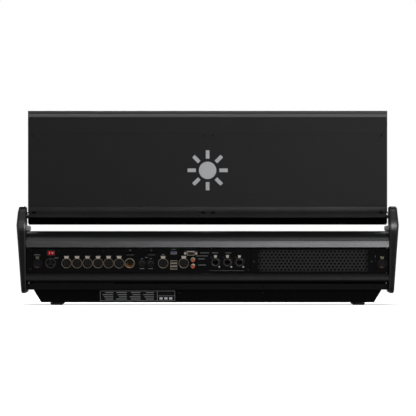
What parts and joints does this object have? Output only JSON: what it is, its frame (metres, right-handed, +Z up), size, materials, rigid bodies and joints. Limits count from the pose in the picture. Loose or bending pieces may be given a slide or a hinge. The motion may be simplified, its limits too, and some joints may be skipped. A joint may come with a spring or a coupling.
{
  "type": "lighting control desk",
  "caption": "Wide black lighting control desk with a tilting twin-screen monitor wing, motorised-style faders, keys, encoders, a keyboard drawer and a rear panel of sockets.",
  "frame": {"origin": "on the table, under the middle of the desk", "axes": "+Z up, +Y towards the rear connector panel, +X to the operator's right"},
  "size_m": [0.874, 0.656, 0.4456],
  "materials": {
    "black_powder_coat": "matte",
    "black_sheet_metal": "matte",
    "black_anodised": "satin",
    "black_plastic": "matte",
    "soft_black": "matte",
    "foot_rubber": "matte",
    "screen_glass": "gloss",
    "bright_metal": "satin",
    "pin_steel": "satin",
    "board_green": "satin",
    "key_silicone": "matte",
    "key_caps": "matte",
    "fader_caps": "satin",
    "red_plastic": "gloss"
  },
  "bodies": {
    "desk_base": {"control_panel": "black_powder_coat", "executor_keys": "key_silicone", "command_keys": "key_silicone", "strip_screen": "screen_glass", "command_screen": "screen_glass", "fader_board": "board_green", "mains_panel": "black_powder_coat", "connector_panel": "black_powder_coat", "fan_grille": "black_powder_coat", "lamp_panel": "black_powder_coat", "dmx_board": "bright_metal", "network_board": "bright_metal", "mains_inlet": "black_plastic", "lamp_socket_left": "bright_metal", "lamp_socket_right": "bright_metal", "fan_bracket": "black_plastic", "left_cheek": "black_powder_coat", "right_cheek": "black_powder_coat", "bottom_tray": "black_sheet_metal", "base_pan": "black_sheet_metal", "foot_front_left": "foot_rubber", "foot_rear_left": "foot_rubber", "foot_front_right": "foot_rubber", "foot_rear_right": "foot_rubber", "rear_upper_profile": "black_anodised", "rear_lower_profile": "black_anodised", "main_board": "board_green", "power_supply": "bright_metal", "palm_rest": "soft_black"},
    "monitor_wing": {"wing_rear_cover": "black_powder_coat", "hinge_beam": "black_anodised", "hinge_pin_left": "pin_steel", "hinge_pin_right": "pin_steel", "wing_front_bezel": "black_plastic", "screen_left": "screen_glass", "screen_right": "screen_glass"},
    "keyboard_drawer": {"drawer_tray": "black_sheet_metal", "keyboard": "black_plastic"},
    "fader_1_body": {"fader_1": "fader_caps"},
    "fader_2_body": {"fader_2": "fader_caps"},
    "fader_3_body": {"fader_3": "fader_caps"},
    "fader_4_body": {"fader_4": "fader_caps"},
    "fader_5_body": {"fader_5": "fader_caps"},
    "fader_6_body": {"fader_6": "fader_caps"},
    "fader_7_body": {"fader_7": "fader_caps"},
    "fader_8_body": {"fader_8": "fader_caps"},
    "fader_9_body": {"fader_9": "fader_caps"},
    "fader_10_body": {"fader_10": "fader_caps"},
    "encoder_1_body": {"encoder_1": "black_plastic"},
    "encoder_2_body": {"encoder_2": "black_plastic"},
    "encoder_3_body": {"encoder_3": "black_plastic"},
    "encoder_4_body": {"encoder_4": "black_plastic"},
    "trackball_body": {"trackball": "red_plastic"},
    "level_wheel_body": {"level_wheel": "soft_black"},
    "back_key_body": {"back_key": "key_caps"},
    "pause_key_body": {"pause_key": "key_caps"},
    "go_key_body": {"go_key": "key_caps"},
    "power_switch_body": {"power_switch": "red_plastic"},
    "fan_rotor_left_body": {"fan_rotor_left": "black_plastic"},
    "fan_rotor_right_body": {"fan_rotor_right": "black_plastic"}
  },
  "joints": [
    {"name": "drawer_slide", "type": "slide", "parent": "desk_base", "child": "keyboard_drawer", "axis": [0, -1, 0], "range_m": [0, 0.135]},
    {"name": "wing_tilt", "type": "hinge", "parent": "desk_base", "child": "monitor_wing", "pos_m": [0, 0.08, 0.206], "axis": [1, 0, 0], "range_deg": [-87, 6]},
    {"name": "fader_1_slide", "type": "slide", "parent": "desk_base", "child": "fader_1_body", "axis": [0, 0.9659, 0.2588], "range_m": [-0.002, 0.058]},
    {"name": "fader_2_slide", "type": "slide", "parent": "desk_base", "child": "fader_2_body", "axis": [0, 0.9659, 0.2588], "range_m": [-0.002, 0.058]},
    {"name": "fader_3_slide", "type": "slide", "parent": "desk_base", "child": "fader_3_body", "axis": [0, 0.9659, 0.2588], "range_m": [-0.002, 0.058]},
    {"name": "fader_4_slide", "type": "slide", "parent": "desk_base", "child": "fader_4_body", "axis": [0, 0.9659, 0.2588], "range_m": [-0.002, 0.058]},
    {"name": "fader_5_slide", "type": "slide", "parent": "desk_base", "child": "fader_5_body", "axis": [0, 0.9659, 0.2588], "range_m": [-0.002, 0.058]},
    {"name": "fader_6_slide", "type": "slide", "parent": "desk_base", "child": "fader_6_body", "axis": [0, 0.9659, 0.2588], "range_m": [-0.002, 0.058]},
    {"name": "fader_7_slide", "type": "slide", "parent": "desk_base", "child": "fader_7_body", "axis": [0, 0.9659, 0.2588], "range_m": [-0.002, 0.058]},
    {"name": "fader_8_slide", "type": "slide", "parent": "desk_base", "child": "fader_8_body", "axis": [0, 0.9659, 0.2588], "range_m": [-0.002, 0.058]},
    {"name": "fader_9_slide", "type": "slide", "parent": "desk_base", "child": "fader_9_body", "axis": [0, 0.9659, 0.2588], "range_m": [-0.002, 0.058]},
    {"name": "fader_10_slide", "type": "slide", "parent": "desk_base", "child": "fader_10_body", "axis": [0, 0.9659, 0.2588], "range_m": [-0.002, 0.058]},
    {"name": "encoder_1_turn", "type": "hinge", "parent": "desk_base", "child": "encoder_1_body", "pos_m": [0.019, -0.11838, 0.12289], "axis": [0, -0.2588, 0.9659], "continuous": true},
    {"name": "encoder_2_turn", "type": "hinge", "parent": "desk_base", "child": "encoder_2_body", "pos_m": [0.079, -0.11838, 0.12289], "axis": [0, -0.2588, 0.9659], "continuous": true},
    {"name": "encoder_3_turn", "type": "hinge", "parent": "desk_base", "child": "encoder_3_body", "pos_m": [0.139, -0.11838, 0.12289], "axis": [0, -0.2588, 0.9659], "continuous": true},
    {"name": "encoder_4_turn", "type": "hinge", "parent": "desk_base", "child": "encoder_4_body", "pos_m": [0.199, -0.11838, 0.12289], "axis": [0, -0.2588, 0.9659], "continuous": true},
    {"name": "trackball_roll", "type": "hinge", "parent": "desk_base", "child": "trackball_body", "pos_m": [0.31, -0.1279, 0.11206], "axis": [1, 0, 0], "continuous": true},
    {"name": "level_wheel_roll", "type": "hinge", "parent": "desk_base", "child": "level_wheel_body", "pos_m": [0.384, -0.12635, 0.10626], "axis": [1, 0, 0], "continuous": true},
    {"name": "back_key_press", "type": "slide", "parent": "desk_base", "child": "back_key_body", "axis": [0, 0.2588, -0.9659], "range_m": [0, 0.002], "stiffness_N_per_m": 300, "springref_m": -0.001},
    {"name": "pause_key_press", "type": "slide", "parent": "desk_base", "child": "pause_key_body", "axis": [0, 0.2588, -0.9659], "range_m": [0, 0.002], "stiffness_N_per_m": 300, "springref_m": -0.001},
    {"name": "go_key_press", "type": "slide", "parent": "desk_base", "child": "go_key_body", "axis": [0, 0.2588, -0.9659], "range_m": [0, 0.002], "stiffness_N_per_m": 300, "springref_m": -0.001},
    {"name": "power_rock", "type": "hinge", "parent": "desk_base", "child": "power_switch_body", "pos_m": [0.3586, 0.29846, 0.11993], "axis": [0, 0.2419, 0.9703], "range_deg": [-14, 0]},
    {"name": "fan_left_spin", "type": "hinge", "parent": "desk_base", "child": "fan_rotor_left_body", "pos_m": [-0.308, 0.28052, 0.10585], "axis": [0, 0.9703, -0.2419], "continuous": true},
    {"name": "fan_right_spin", "type": "hinge", "parent": "desk_base", "child": "fan_rotor_right_body", "pos_m": [-0.172, 0.28052, 0.10585], "axis": [0, 0.9703, -0.2419], "continuous": true}
  ]
}
